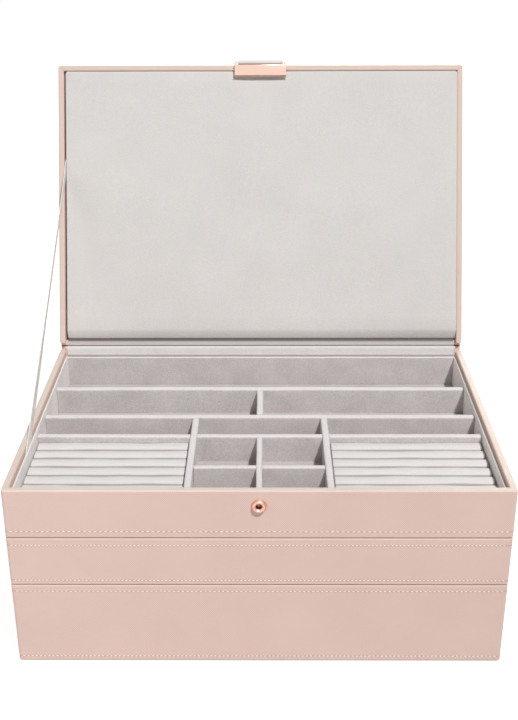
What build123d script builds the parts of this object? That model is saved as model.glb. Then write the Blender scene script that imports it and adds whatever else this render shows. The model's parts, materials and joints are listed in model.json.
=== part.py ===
from build123d import *
import os
from math import atan2, cos, degrees, hypot, radians, sin

# A three-tier jewellery box with its lid held open, in millimetres.
# The origin is the centre of the base's underside, +Z is up and the front faces -Y.
# Places named "from_front" are counted from the front face, and "drop" or "rise" from the top rim.
width = 365.0
depth = 251.0
bottom_height = 70.5        # from the table to the bottom tray's rim
middle_height = 40.3
upper_height = 39.3
seat_gap = 0.2              # fine line between one tier and the next, and under the lid's rim
slip = 0.2                  # ease round boards that slide together
overrun = 1.0               # how far a cutting solid passes the face that it cuts

# Wrapped boards of each tray
side_wall = 5.5
front_wall = 5.5
back_wall = 6.0
floor_board = 4.2
corner_round = 2.5
rim_round = 1.2
foot_round = 1.0
base_round = 2.3            # the bottom tray's own lower edge
felt_thickness = 0.5
felt_inset = 4.0
locating_board = 3.8        # stands down into the tray below
locating_clearance = 0.8
locating_round = 3.0

# Velvet lining
liner_thickness = 1.5
back_liner_thickness = 3.0
liner_drop = 4.5            # the recess that the next tier's board drops into
liner_round = 0.5
floor_pad = 3.5
divider_drop = 9.0
divider_thickness = 5.5
long_divider_thickness = 6.0
small_divider_thickness = 4.6
divider_round_share = 0.36  # of the divider's thickness

# Upper tray's layout, as shares of the clear length and half width inside the lining
rear_row_share = 0.764
middle_row_share = 0.540
ring_row_share = 0.397
small_row_share = 0.186
block_half_share = 0.2974
necklace_step = 0.5         # the short necklace divider stands this much lower
roll_count = 7
roll_drop = 13.9
roll_gap = 0.5
roll_end_gap = 1.0

# Middle and bottom trays' layout
middle_rows = 3
middle_columns = 4
bottom_row_share = 0.5

# Hinge edge of the upper tray
spine_rise = 5.0            # hinge line above the rim, with its cloth
spine_side_gap = 0.8        # between the batten's ends and the shut lid's side rims
spine_round = 0.8
spine_thickness = 3.4       # the batten; behind it a groove leaves a thin flap for the fold
groove_width = 1.8
groove_depth = 3.2
cloth = 0.4
hinge_ease = 0.3

# Lid, drawn shut and then swung open
lid_thickness = 16.0
lid_roof = 4.0
lid_rim = 5.0
lid_back_rim = 3.2
lid_rim_round = 1.1
lid_top_round = 2.0
pad_gap = 1.7
pad_recess = 2.5
pad_round = 6.0
open_angle = 112.5

# Ribbon that stops the lid
stay_width = 10.0
stay_thickness = 0.6
stay_tray_from_front = 57.9
stay_tray_drop = 11.0
stay_lid_reach = 163.5      # along the lid from the hinge line
stay_lid_rise = 6.5         # up into the lid from its rim

# Clasp strap and bar, drawn with the lid shut
strap_width = 40.5
strap_thickness = 0.8
root_thickness = 1.6
root_rise = 1.1             # the strap is sewn down from here upwards, and stands off below
root_top_inset = 3.0
lip_out = 4.8               # crest of the strap's fold, in front of the front face
lip_drop = 1.6
strap_axis_out = 4.5
strap_axis_drop = 2.6
strap_start = 0.1
strap_turn_share = 0.86     # of the lid's turn
pin_diameter = 1.2
pin_out = 4.3
pin_below_axis = 2.55
pin_ease = 0.05
pin_end_inset = 0.4
bar_height = 10.8
bar_thickness = 3.0
bar_back_out = 3.2
bar_top_below_axis = 4.25
bar_bevel = 0.5
ear_width = 2.4
ear_ease = 0.65            # between the strap's edge and an ear
ear_radius = 1.6
magnet_diameter = 8.0
magnet_thickness = 1.5

# Eyelet stud behind the clasp bar
eyelet_diameter = 10.6
eyelet_crown = 8.6
eyelet_hole = 4.4
eyelet_proud = 2.8
eyelet_barrel = 5.6
eyelet_round = 0.9

# Levels and lines worked out from the sizes above
front = -depth / 2
back = depth / 2
bottom_rim = bottom_height
middle_low = bottom_rim + seat_gap
middle_rim = middle_low + middle_height
upper_low = middle_rim + seat_gap
upper_rim = upper_low + upper_height
inner_half = width / 2 - side_wall
inner_front = front + front_wall
inner_back = back - back_wall
lined_half = inner_half - liner_thickness
lined_front = inner_front + liner_thickness
lined_back = inner_back - back_liner_thickness
hinge_z = upper_rim + spine_rise
lid_low = upper_rim + seat_gap
lid_back_low = hinge_z + seat_gap + cloth
lid_top = upper_rim + lid_thickness
lid_roof_low = lid_top - lid_roof
lid_half = width / 2 - lid_rim
notch_front = inner_back - cloth - hinge_ease
strap_y = front - strap_axis_out
strap_z = upper_rim - strap_axis_drop
pin_y = front - pin_out
pin_z = strap_z - pin_below_axis
bar_back = front - bar_back_out
bar_top = strap_z - bar_top_below_axis
bar_width = strap_width + 2 * (ear_width + ear_ease)
bar_middle = bar_top - bar_height / 2
strap_turn = strap_turn_share * open_angle


def slab(x_low, x_high, y_low, y_high, z_low, z_high):
    """A plain board between two corners."""
    middle = ((x_low + x_high) / 2, (y_low + y_high) / 2, (z_low + z_high) / 2)
    return Pos(*middle) * Box(x_high - x_low, y_high - y_low, z_high - z_low)


def rod_x(y, z, radius, half_length):
    """A round rod along X, centred on x = 0."""
    return Pos(0, y, z) * Rot(Y=90) * Cylinder(radius, 2 * half_length)


def row(share):
    """A place between the front and back linings."""
    return lined_front + share * (lined_back - lined_front)


def tray_shell(z_low, z_rim, low_round=foot_round):
    """A leather-wrapped open tray: four walls and a floor in one wrapped shell."""
    shell = slab(-width / 2, width / 2, front, back, z_low, z_rim)
    shell = fillet(shell.edges().filter_by(Axis.Z), corner_round)
    shell = fillet(shell.faces().sort_by(Axis.Z)[0].edges(), low_round)
    shell -= slab(-inner_half, inner_half, inner_front, inner_back, z_low + floor_board, z_rim + overrun)
    return fillet(shell.faces().sort_by(Axis.Z)[-1].edges(), rim_round)


def locating_plate(z_low):
    """The lined board under a tray that drops inside the rim of the tray below."""
    half = inner_half - locating_clearance
    plate = slab(-half, half, inner_front + locating_clearance, inner_back - locating_clearance,
                 z_low - locating_board, z_low)
    return fillet(plate.edges().filter_by(Axis.Z), locating_round)


def rounded_board(x_low, x_high, y_low, y_high, z_low, z_high, radius):
    """A covered board whose two long top edges are soft."""
    board = slab(x_low, x_high, y_low, y_high, z_low, z_high)
    along = Axis.X if x_high - x_low > y_high - y_low else Axis.Y
    return fillet(board.faces().sort_by(Axis.Z)[-1].edges().filter_by(along), radius)


def liner_boards(z_low, z_rim):
    """Four velvet-covered boards that line a tray's walls."""
    low, high = z_low + floor_board, z_rim - liner_drop
    return {
        "front": rounded_board(-inner_half, inner_half, inner_front, lined_front, low, high, liner_round),
        "back": rounded_board(-inner_half, inner_half, lined_back, inner_back, low, high, liner_round),
        "left": rounded_board(-inner_half, -lined_half, lined_front, lined_back, low, high, liner_round),
        "right": rounded_board(lined_half, inner_half, lined_front, lined_back, low, high, liner_round),
    }


def floor_cushion(z_low):
    """The velvet pad on a tray's floor."""
    base = z_low + floor_board
    return slab(-lined_half, lined_half, lined_front, lined_back, base, base + floor_pad)


def divider_x(x_low, x_high, y, thickness, z_low, z_top):
    """A divider that runs from side to side."""
    radius = divider_round_share * thickness
    return rounded_board(x_low, x_high, y - thickness / 2, y + thickness / 2, z_low, z_top, radius)


def divider_y(x, y_low, y_high, thickness, z_low, z_top):
    """A divider that runs from front to back."""
    radius = divider_round_share * thickness
    return rounded_board(x - thickness / 2, x + thickness / 2, y_low, y_high, z_low, z_top, radius)


def halved(side_board, side_y, side_thickness, cross_board, cross_x, cross_thickness, z_low, z_top):
    """Halve two crossing dividers: the side-to-side one is slotted above, the other below."""
    half = cross_thickness / 2 + slip
    z_half = (z_low + z_top) / 2
    side_slot = slab(cross_x - half, cross_x + half, side_y - side_thickness, side_y + side_thickness,
                     z_half, z_top + overrun)
    half = side_thickness / 2 + slip
    cross_slot = slab(cross_x - cross_thickness, cross_x + cross_thickness, side_y - half, side_y + half,
                      z_low - overrun, z_half + slip)
    return side_board - side_slot, cross_board - cross_slot


def ring_rolls(x_low, x_high, y_low, y_high, z_low, z_top):
    """Padded bars side by side, between which rings are pushed."""
    pitch = (y_high - y_low) / roll_count
    radius = (pitch - roll_gap) / 2
    rolls = []
    for index in range(roll_count):
        y = y_low + pitch * (index + 1 / 2)
        foot = slab(x_low, x_high, y - radius, y + radius, z_low, z_top - radius)
        crown = Pos((x_low + x_high) / 2, y, z_top - radius) * Rot(Y=90) * Cylinder(radius, x_high - x_low)
        rolls.append(foot + crown)
    return Compound(children=rolls)


def upper_dividers(z_low, z_top):
    """Dividers of the upper tray, halved where they cross."""
    reach = lined_half - slip
    block = block_half_share * lined_half
    rear, middle, ring, small = (row(share) for share in
                                 (rear_row_share, middle_row_share, ring_row_share, small_row_share))
    long_half, half = long_divider_thickness / 2, divider_thickness / 2
    side_front = lined_front + slip
    boards = {
        "rear": divider_x(-reach, reach, rear, long_divider_thickness, z_low, z_top),
        "middle": divider_x(-reach, reach, middle, long_divider_thickness, z_low, z_top),
        "necklace": divider_y(0, middle + long_half + slip, rear - long_half - slip,
                              divider_thickness, z_low, z_top - necklace_step),
        "ring": divider_x(-reach, reach, ring, divider_thickness, z_low, z_top),
        "left": divider_y(-block, side_front, middle - long_half - slip, divider_thickness, z_low, z_top),
        "right": divider_y(block, side_front, middle - long_half - slip, divider_thickness, z_low, z_top),
        "centre": divider_y(0, side_front, ring - half - slip, small_divider_thickness, z_low, z_top),
        "small": divider_x(half + slip - block, block - half - slip, small,
                           small_divider_thickness, z_low, z_top),
    }
    for name, x in (("left", -block), ("right", block)):
        boards["ring"], boards[name] = halved(boards["ring"], ring, divider_thickness,
                                              boards[name], x, divider_thickness, z_low, z_top)
    boards["small"], boards["centre"] = halved(boards["small"], small, small_divider_thickness,
                                               boards["centre"], 0, small_divider_thickness, z_low, z_top)
    return boards


def middle_dividers(z_low, z_top):
    """A grid of halved dividers, rows from front to back and columns from left to right."""
    reach = lined_half - slip
    rows = [row(index / middle_rows) for index in range(1, middle_rows)]
    columns = [lined_half * (2 * index / middle_columns - 1) for index in range(1, middle_columns)]
    long_boards = [divider_x(-reach, reach, y, divider_thickness, z_low, z_top) for y in rows]
    cross_boards = [divider_y(x, lined_front + slip, lined_back - slip, divider_thickness, z_low, z_top)
                    for x in columns]
    for i, y in enumerate(rows):
        for j, x in enumerate(columns):
            long_boards[i], cross_boards[j] = halved(long_boards[i], y, divider_thickness,
                                                     cross_boards[j], x, divider_thickness, z_low, z_top)
    return long_boards, cross_boards


def spine_board():
    """The wrapped batten on the back wall, with the hinge's flap behind its groove."""
    half = lid_half - spine_side_gap
    board = slab(-half, half, inner_back, back, upper_rim, hinge_z - cloth)
    board = fillet(board.edges().filter_by(Axis.Z) + board.edges().filter_by(Axis.X).sort_by(Axis.Z)[-2:],
                   spine_round)
    groove = inner_back + spine_thickness
    return board - slab(-width, width, groove, groove + groove_width,
                        hinge_z - cloth - groove_depth, hinge_z + overrun)


def spine_cloth():
    """Lining cloth over the front and top of the hinge batten."""
    face = slab(-lined_half, lined_half, inner_back - cloth, inner_back, upper_rim - liner_drop, hinge_z)
    top = slab(-lined_half, lined_half, inner_back, inner_back + spine_thickness, hinge_z - cloth, hinge_z)
    return face + top


def lid_shell():
    """The wrapped lid, shut: a shallow tray turned over, with its back edge cut for the batten."""
    shell = slab(-width / 2, width / 2, front, back, lid_low, lid_top)
    shell = fillet(shell.edges().filter_by(Axis.Z), corner_round)
    shell = fillet(shell.faces().sort_by(Axis.Z)[-1].edges(), lid_top_round)
    shell -= slab(-lid_half, lid_half, notch_front, back + overrun, lid_low - overrun, lid_back_low)
    shell -= slab(-lid_half, lid_half, front + lid_rim, back - lid_back_rim, lid_low - overrun, lid_roof_low)
    return fillet(shell.faces().sort_by(Axis.Z)[0].edges(), lid_rim_round)


def lid_cushion():
    """The padded velvet panel in the lid, shut."""
    half = lid_half - pad_gap
    pad = slab(-half, half, front + lid_rim + pad_gap, notch_front, upper_rim + pad_recess, lid_roof_low)
    pad = fillet(pad.edges().filter_by(Axis.Z), pad_gap)
    return fillet(pad.faces().sort_by(Axis.Z)[0].edges(), pad_round)


def lid_cloth():
    """Lining cloth on the lid's back edge, shut."""
    return slab(-lined_half, lined_half, back - lid_back_rim, back - hinge_ease, lid_back_low - cloth, lid_back_low)


def swing(y, z, about_y, about_z, angle):
    """Turn a point about an axis along X, in degrees."""
    c, s = cos(radians(angle)), sin(radians(angle))
    y, z = y - about_y, z - about_z
    return about_y + y * c - z * s, about_z + y * s + z * c


def opened(piece):
    """Swing a piece of the shut lid to its rest, held open by the ribbon."""
    return piece.rotate(Axis((0, back, hinge_z), (1, 0, 0)), -open_angle)


def folded(piece):
    """Fold a piece of the strap inwards over the lid's edge, and swing it with the lid."""
    return opened(piece.rotate(Axis((0, strap_y, strap_z), (1, 0, 0)), strap_turn))


def stay_band(extra_width, extra_thickness):
    """The ribbon, straight from its end inside the tray's wall to its end inside the lid."""
    y_tray, z_tray = front + stay_tray_from_front, upper_rim - stay_tray_drop
    y_lid, z_lid = swing(back - stay_lid_reach, upper_rim + stay_lid_rise, back, hinge_z, -open_angle)
    length = hypot(y_lid - y_tray, z_lid - z_tray)
    angle = degrees(atan2(z_lid - z_tray, y_lid - y_tray))
    x_outer = -min(inner_half, lid_half)
    x = x_outer + (stay_thickness + extra_thickness) / 2
    band = Box(stay_thickness + extra_thickness, length + extra_width, stay_width + extra_width)
    return Pos(x, (y_tray + y_lid) / 2, (z_tray + z_lid) / 2) * Rot(X=angle) * band


def eyelet():
    """The stud in the front wall with its eyelet, at the middle of the clasp bar."""
    flange = Cone(eyelet_diameter / 2, eyelet_crown / 2, eyelet_proud, align=(Align.CENTER, Align.CENTER, Align.MIN))
    flange = fillet(flange.edges().filter_by(GeomType.CIRCLE).sort_by(Axis.Z)[-1], eyelet_round)
    barrel = Cylinder(eyelet_barrel / 2, front_wall, align=(Align.CENTER, Align.CENTER, Align.MAX))
    ring = flange + barrel - Cylinder(eyelet_hole / 2, 2 * (front_wall + overrun))
    return Pos(0, front, bar_middle) * Rot(X=90) * ring


def strap_root():
    """The part of the strap that is sewn down on the lid's front edge and stands off to its fold, shut."""
    half = strap_width / 2
    y_sewn, z_sewn = front - root_thickness / 2, upper_rim + root_rise
    y_fold, z_fold = front - lip_out, upper_rim - lip_drop
    length = hypot(y_fold - y_sewn, z_fold - z_sewn)
    angle = degrees(atan2(z_fold - z_sewn, y_fold - y_sewn))
    lip = Pos(0, (y_sewn + y_fold) / 2, (z_sewn + z_fold) / 2) * Rot(X=angle) * Box(strap_width, length, strap_thickness)
    return slab(-half, half, front - root_thickness, front, z_sewn, lid_top - root_top_inset) + lip


def strap():
    """The free part of the strap, shut, with the loop that holds the bar's pin."""
    half = strap_width / 2
    plate = slab(-half, half, strap_y - strap_thickness / 2, strap_y + strap_thickness / 2,
                 pin_z, strap_z - strap_start)
    loop = rod_x(pin_y, pin_z, pin_diameter / 2 + pin_ease + strap_thickness, half)
    return plate + loop - rod_x(pin_y, pin_z, pin_diameter / 2 + pin_ease, half + overrun)


def clasp_bar():
    """The metal bar, shut, with an ear at each end for its pin and a pocket for its magnet."""
    half = bar_width / 2
    bar = slab(-half, half, bar_back - bar_thickness, bar_back, bar_top - bar_height, bar_top)
    bar = chamfer(bar.faces().sort_by(Axis.Y)[0].edges(), bar_bevel)
    for side in (-1, 1):
        x = side * (half - ear_width / 2)
        ear = Pos(x, pin_y, pin_z) * Rot(Y=90) * Cylinder(ear_radius, ear_width)
        neck = slab(x - ear_width / 2, x + ear_width / 2, pin_y - ear_radius, pin_y + ear_radius / 2,
                    bar_top - bar_bevel, pin_z)
        bar += ear + neck
    bar -= rod_x(pin_y, pin_z, pin_diameter / 2, half - pin_end_inset)
    pocket = Cylinder(magnet_diameter / 2 + pin_ease, 2 * magnet_thickness)
    return bar - Pos(0, bar_back, bar_middle) * Rot(X=90) * pocket


def magnet():
    """The disc magnet let into the back of the bar, shut."""
    disc = Cylinder(magnet_diameter / 2, magnet_thickness, align=(Align.CENTER, Align.CENTER, Align.MIN))
    return Pos(0, bar_back, bar_middle) * Rot(X=90) * disc


def upper_pieces():
    """Every piece of the upper tray."""
    base, top = upper_low + floor_board + floor_pad, upper_rim - divider_drop
    bore = rod_x(0, 0, eyelet_barrel / 2 + pin_ease, front_wall)
    shell = tray_shell(upper_low, upper_rim) - Pos(0, inner_front, bar_middle) * Rot(Z=90) * bore
    boards = upper_dividers(base, top)
    block = block_half_share * lined_half + divider_thickness / 2 + roll_end_gap
    roll_back = row(ring_row_share) - divider_thickness / 2
    liners = liner_boards(upper_low, upper_rim)
    liners["left"] -= stay_band(2 * slip, slip)
    pieces = {
        "upper_tray_shell": shell,
        "upper_tray_locating_board": locating_plate(upper_low),
        "upper_tray_floor_pad": floor_cushion(upper_low),
        "ring_rolls_left": ring_rolls(roll_end_gap - lined_half, -block, lined_front, roll_back,
                                      base, upper_rim - roll_drop),
        "ring_rolls_right": ring_rolls(block, lined_half - roll_end_gap, lined_front, roll_back,
                                       base, upper_rim - roll_drop),
        "hinge_spine": spine_board(),
        "hinge_lining": spine_cloth(),
        "front_eyelet": eyelet(),
        "lid_stay_ribbon": stay_band(0, 0),
    }
    pieces.update({f"upper_tray_liner_{side}": board for side, board in liners.items()})
    pieces.update({f"upper_divider_{name}": board for name, board in boards.items()})
    return pieces


def middle_pieces():
    """Every piece of the middle tray."""
    long_boards, cross_boards = middle_dividers(middle_low + floor_board + floor_pad, middle_rim - divider_drop)
    pieces = {
        "middle_tray_shell": tray_shell(middle_low, middle_rim),
        "middle_tray_locating_board": locating_plate(middle_low),
        "middle_tray_floor_pad": floor_cushion(middle_low),
    }
    liners = liner_boards(middle_low, middle_rim)
    pieces.update({f"middle_tray_liner_{side}": board for side, board in liners.items()})
    pieces.update({f"middle_divider_long_{i + 1}": board for i, board in enumerate(long_boards)})
    pieces.update({f"middle_divider_cross_{i + 1}": board for i, board in enumerate(cross_boards)})
    return pieces


def bottom_pieces():
    """Every piece of the deep bottom tray."""
    base, top = felt_thickness + floor_board + floor_pad, bottom_rim - divider_drop
    y = row(bottom_row_share)
    reach = lined_half - slip
    cross_back = y - long_divider_thickness / 2 - slip
    pieces = {
        "bottom_tray_shell": tray_shell(felt_thickness, bottom_rim, base_round),
        "bottom_tray_base_felt": slab(felt_inset - width / 2, width / 2 - felt_inset,
                                      front + felt_inset, back - felt_inset, 0, felt_thickness),
        "bottom_tray_floor_pad": floor_cushion(felt_thickness),
        "bottom_divider_long": divider_x(-reach, reach, y, long_divider_thickness, base, top),
        "bottom_divider_cross": divider_y(0, lined_front + slip, cross_back, divider_thickness, base, top),
    }
    liners = liner_boards(felt_thickness, bottom_rim)
    pieces.update({f"bottom_tray_liner_{side}": board for side, board in liners.items()})
    return pieces


def lid_pieces():
    """Every piece of the lid and its clasp, swung open to the rest pose."""
    return {
        "lid_shell": opened(lid_shell()),
        "lid_pad": opened(lid_cushion()),
        "lid_hinge_cloth": opened(lid_cloth()),
        "lid_strap_root": opened(strap_root()),
        "clasp_strap": folded(strap()),
        "clasp_bar": folded(clasp_bar()),
        "clasp_pin": folded(rod_x(pin_y, pin_z, pin_diameter / 2, bar_width / 2 - pin_end_inset)),
        "clasp_magnet": folded(magnet()),
    }


pieces = {}
for group in (bottom_pieces(), middle_pieces(), upper_pieces(), lid_pieces()):
    pieces.update(group)

os.makedirs("parts", exist_ok=True)
for name, piece in pieces.items():
    export_step(piece, f"parts/{name}.step")
print(len(pieces), "pieces written")
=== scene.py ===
import bmesh, bpy, json, math
from mathutils import Matrix, Vector, noise


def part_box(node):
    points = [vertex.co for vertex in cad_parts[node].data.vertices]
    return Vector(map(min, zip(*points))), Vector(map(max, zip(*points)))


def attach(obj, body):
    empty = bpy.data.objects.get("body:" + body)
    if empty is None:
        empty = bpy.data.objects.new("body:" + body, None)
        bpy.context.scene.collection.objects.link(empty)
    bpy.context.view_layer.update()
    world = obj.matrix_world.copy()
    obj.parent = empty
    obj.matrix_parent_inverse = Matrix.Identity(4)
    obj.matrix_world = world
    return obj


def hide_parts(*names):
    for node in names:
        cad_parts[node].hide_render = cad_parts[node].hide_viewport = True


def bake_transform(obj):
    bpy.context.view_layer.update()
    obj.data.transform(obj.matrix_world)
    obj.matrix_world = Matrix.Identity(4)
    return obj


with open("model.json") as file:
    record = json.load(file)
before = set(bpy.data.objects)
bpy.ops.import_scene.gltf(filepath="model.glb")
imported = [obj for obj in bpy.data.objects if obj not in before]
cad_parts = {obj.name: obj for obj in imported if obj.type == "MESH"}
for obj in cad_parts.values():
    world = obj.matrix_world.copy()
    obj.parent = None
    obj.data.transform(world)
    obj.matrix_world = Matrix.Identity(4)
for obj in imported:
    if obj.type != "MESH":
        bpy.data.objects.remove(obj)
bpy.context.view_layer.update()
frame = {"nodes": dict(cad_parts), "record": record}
print("frame loaded:", len(frame["nodes"]), "nodes")

mm = 0.001
hair = 1e-5       # a place this near to another counts as the same
weld = 1e-6       # points nearer than this are joined
case = {"width": 365 * mm, "front": -125.5 * mm, "back": 125.5 * mm,
        "hinge": (0, 125.5 * mm, 155.5 * mm), "openAngle": 112.5,
        "strapAxis": (0, -130.0 * mm, 147.9 * mm), "strapTurn": 96.75}
view = {"place": (0.005119, -0.783671, 0.546025), "pitch": -24.121, "yaw": 0.411, "roll": -0.184,
        "lens": 54.235, "sensor": 36}


def turnAbout(point, degrees):
    # a turn about a line along X through a point
    point = Vector(point)
    turn = Matrix.Rotation(math.radians(degrees), 4, "X")
    return Matrix.Translation(point) @ turn @ Matrix.Translation(-point)


# from the shut lid to its rest, and the same for what hangs on the strap
lidTurn = turnAbout(case["hinge"], -case["openAngle"])
clipTurn = lidTurn @ turnAbout(case["strapAxis"], case["strapTurn"])


def paint(red, green, blue):
    # a screen colour, 0 to 255, as the linear colour that Blender mixes
    def linear(level):
        level /= 255
        return level / 12.92 if level <= 0.04045 else ((level + 0.055) / 1.055) ** 2.4
    return linear(red), linear(green), linear(blue), 1


class Wire:
    # one output socket, with plain sums turned into Math nodes
    def __init__(self, finish, socket):
        self.finish, self.socket = finish, socket

    def maths(self, operation, *values):
        return self.finish.add("ShaderNodeMath", {"operation": operation}, *values)

    def __add__(self, other): return self.maths("ADD", self, other)
    def __radd__(self, other): return self.maths("ADD", other, self)
    def __sub__(self, other): return self.maths("SUBTRACT", self, other)
    def __rsub__(self, other): return self.maths("SUBTRACT", other, self)
    def __mul__(self, other): return self.maths("MULTIPLY", self, other)
    def __pow__(self, other): return self.maths("POWER", self, other)
    def __gt__(self, other): return self.maths("GREATER_THAN", self, other)
    def sine(self): return self.maths("SINE", self)
    def size(self): return self.maths("ABSOLUTE", self)
    def atMost(self, other): return self.maths("MINIMUM", self, other)
    def atLeast(self, other): return self.maths("MAXIMUM", self, other)

    # 0 to 1 over a length, upward from a start or downward from it, or 1 at a place and 0 beside it
    def above(self, start, length): return ((self - start) * (1 / length)).atLeast(0).atMost(1)
    def below(self, start, length): return ((start - self) * (1 / length)).atLeast(0).atMost(1)
    def within(self, centre, half): return 1 - ((self - centre).size() * (1 / half)).atMost(1)


class Finish:
    # a material with its nodes added one call at a time
    def __init__(self, name, turn=0):
        self.material = bpy.data.materials.new(name)
        self.material.use_nodes = True
        self.turn = turn
        self.tree = self.material.node_tree
        self.tree.nodes.clear()
        self.output = self.tree.nodes.new("ShaderNodeOutputMaterial")
        self.place = self.turned(self.add("ShaderNodeTexCoord", {}, output="Object"), "POINT")

    def turned(self, vector, kind):
        return self.add("ShaderNodeMapping", {"vector_type": kind}, vector,
                        Rotation=(math.radians(self.turn), 0, 0))

    def add(self, kind, settings, *values, output=None, **named):
        node = self.tree.nodes.new(kind)
        for key, value in settings.items():
            setattr(node, key, value)
        for key, value in list(enumerate(values)) + [(k.replace("_", " "), v) for k, v in named.items()]:
            self.plugIn(node.inputs[key], value)
        socket = node.outputs[output] if output else next(s for s in node.outputs if s.enabled)
        return Wire(self, socket)

    def plugIn(self, plug, value):
        if isinstance(value, Wire):
            self.tree.links.new(value.socket, plug)
        else:
            plug.default_value = value

    def parts(self, vector):
        split = self.add("ShaderNodeSeparateXYZ", {}, vector).socket.node
        return [Wire(self, split.outputs[name]) for name in "XYZ"]

    def facing(self):
        # the way the surface faces, as if the piece were shut
        return self.parts(self.turned(self.add("ShaderNodeTexCoord", {}, output="Normal"), "VECTOR"))

    def across(self):
        # the two lengths that run over each flat side, whichever way it faces
        x, y, z = self.parts(self.place)
        nx, ny, nz = self.facing()
        onSide, onTop = nx.size() > 0.7, nz.size() > 0.7
        return x + (y - x) * onSide, z + (y - z) * onTop

    def noise(self, size, detail=2, roughness=0.5):
        # cloudy grey, about "size" metres from cloud to cloud
        return self.add("ShaderNodeTexNoise", {}, output="Fac", Vector=self.place, Scale=1 / size,
                        Detail=detail, Roughness=roughness)

    def mixed(self, amount, first, second):
        node = self.tree.nodes.new("ShaderNodeMix")
        node.data_type = "RGBA"
        for name, value in (("Factor_Float", amount), ("A_Color", first), ("B_Color", second)):
            self.plugIn(next(s for s in node.inputs if s.identifier == name), value)
        return Wire(self, next(s for s in node.outputs if s.identifier == "Result_Color"))

    def raised(self, height, distance, strength=1):
        return self.add("ShaderNodeBump", {}, output="Normal", Strength=strength, Distance=distance,
                        Height=height)

    def done(self, **sockets):
        shader = self.add("ShaderNodeBsdfPrincipled", {}, **sockets)
        self.tree.links.new(shader.socket, self.output.inputs["Surface"])
        return self.material


# blush faux leather with fine crossing score lines
leather = {"light": paint(240, 212, 201), "dark": paint(219, 187, 175), "creaseShade": paint(178, 142, 128),
           # topLight and topDark: a paler painted sheen on the trays' up-facing sides; edgeLight and
           # edgeDark: a darker, paler painted tone on the lid's rim face, for how the light falls there
           "topLight": paint(226, 211, 200), "topDark": paint(206, 189, 178),
           "edgeLight": paint(221, 201, 190), "edgeDark": paint(200, 178, 167),
           # the browner colour next is painted shade on the side walls' inner faces, and also the mitre
           # folds' own colour
           "innerShadeAndMitre": paint(192, 166, 152), "innerShadeShare": 0.75, "innerHalf": 177 * mm,
           "pitch": 1.45 * mm, "slope": 0.82, "depth": 0.1 * mm, "warpSize": 7 * mm, "warp": 1.3,
           "thin": 0.7, "grainSize": 0.5 * mm, "cloudSize": 45 * mm,
           "ridgeShare": 0.9, "cloudShare": 0.4, "grainShare": 0.12, "shift": 0.12,
           "grainHeight": 0.35, "seamHalf": 0.65 * mm, "seamDepth": 1.5,
           "mitreHalf": 0.5 * mm, "mitreShare": 0.6, "mitreDepth": 2,
           "roughness": 0.5, "ridgeShine": 0.06}
leatherSheen = {"Specular_IOR_Level": 0.2, "Sheen_Weight": 0.08, "Sheen_Roughness": 0.4,
                "Sheen_Tint": (1, 0.95, 0.88, 1)}


def makeLeather(name, turn=0, seams=(), pull=0.6, way=1, crisp=1, creaseShade=leather["creaseShade"], behind=1):
    # "seams" are the heights of stitch rows or folds, where the leather is drawn in and painted darker:
    # partly the stitch holes' own colour, partly painted shade in the crease; "way" is the side that faces
    # the light; "behind" is how much of the painted crease shows where it faces back
    f = Finish(name, turn)
    p = leather
    u, v = f.across()
    warp = (f.noise(p["warpSize"], 1) - 0.5) * p["warp"]
    rate = math.pi / p["pitch"]
    first = ((u * rate + v * (rate * p["slope"]) + warp).sine()).size()
    second = ((u * rate - v * (rate * p["slope"]) - warp).sine()).size()
    ridges = 1 - first.atMost(second) ** p["thin"]       # thin crossing ridges round sunken lozenges
    grain = f.noise(p["grainSize"], 1)
    cloud = f.noise(p["cloudSize"], 3)
    blend = ridges * p["ridgeShare"] + cloud * p["cloudShare"] + grain * p["grainShare"] - p["shift"]
    # painted light: the sides that face the light take their own colours, a painted sheen on the trays'
    # tops and a painted darker tone on the lid's rim face
    kind = "top" if way > 0 else "edge"
    facing = f.facing()
    x, y, z = f.parts(f.place)
    litSide = (facing[2] * way).atLeast(0)
    colour = f.mixed((litSide * litSide).atMost(1), f.mixed(blend, p["dark"], p["light"]),
                     f.mixed(blend, p[kind + "Dark"], p[kind + "Light"]))
    height = ridges + grain * p["grainHeight"]
    # the crease colour is partly the stitch holes' own darkness, partly painted shade where the leather is
    # drawn in
    for seam in seams:
        near = (z.within(seam * mm, p["seamHalf"]) * crisp).atMost(1)
        if behind < 1:
            near = near * (facing[1] * -1).atLeast(behind)
        colour = f.mixed(near * pull, colour, creaseShade)
        height = height - near * p["seamDepth"]
    if way > 0:
        # painted shade: the inner faces of the side walls above the liners are painted browner, where shade
        # falls
        innerShadeMask = (facing[0] * x * (-1 / p["innerHalf"])).atLeast(0).atMost(1)
        colour = f.mixed(innerShadeMask * p["innerShadeShare"], colour, p["innerShadeAndMitre"])
    else:
        # mitred folds at the lid's front corners
        shift = (Matrix.Rotation(math.radians(turn), 3, "X") @ Vector(case["hinge"])).y - case["hinge"][1]
        mitre = (case["width"] / 2 - x.size()) - (y - shift - case["front"])
        fold = mitre.within(0, p["mitreHalf"]) * litSide
        colour = f.mixed(fold * p["mitreShare"], colour, p["innerShadeAndMitre"])
        height = height - fold * p["mitreDepth"]
    return f.done(Base_Color=colour, Roughness=p["roughness"] + ridges * -p["ridgeShine"],
                  Normal=f.raised(height, p["depth"]), **leatherSheen)


# velvet: fibres and flecks under clouds of brushed pile; its top colour is painted light for the up-facing
# sides
pile = {"cloud": 18 * mm, "fibre": 0.5 * mm, "fleck": 1.1 * mm, "fibreShare": 1.4, "fleckShare": 1.9,
        "shift": 1.65, "depth": 0.16 * mm, "strength": 0.7, "top": paint(231, 227, 226)}
# painted shade: down between the rolls the pile is painted dark, where shade falls in the gaps
rollGapShade = {"soft": 0.5 * mm, "most": 0.6, "colour": paint(128, 120, 118)}
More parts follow.
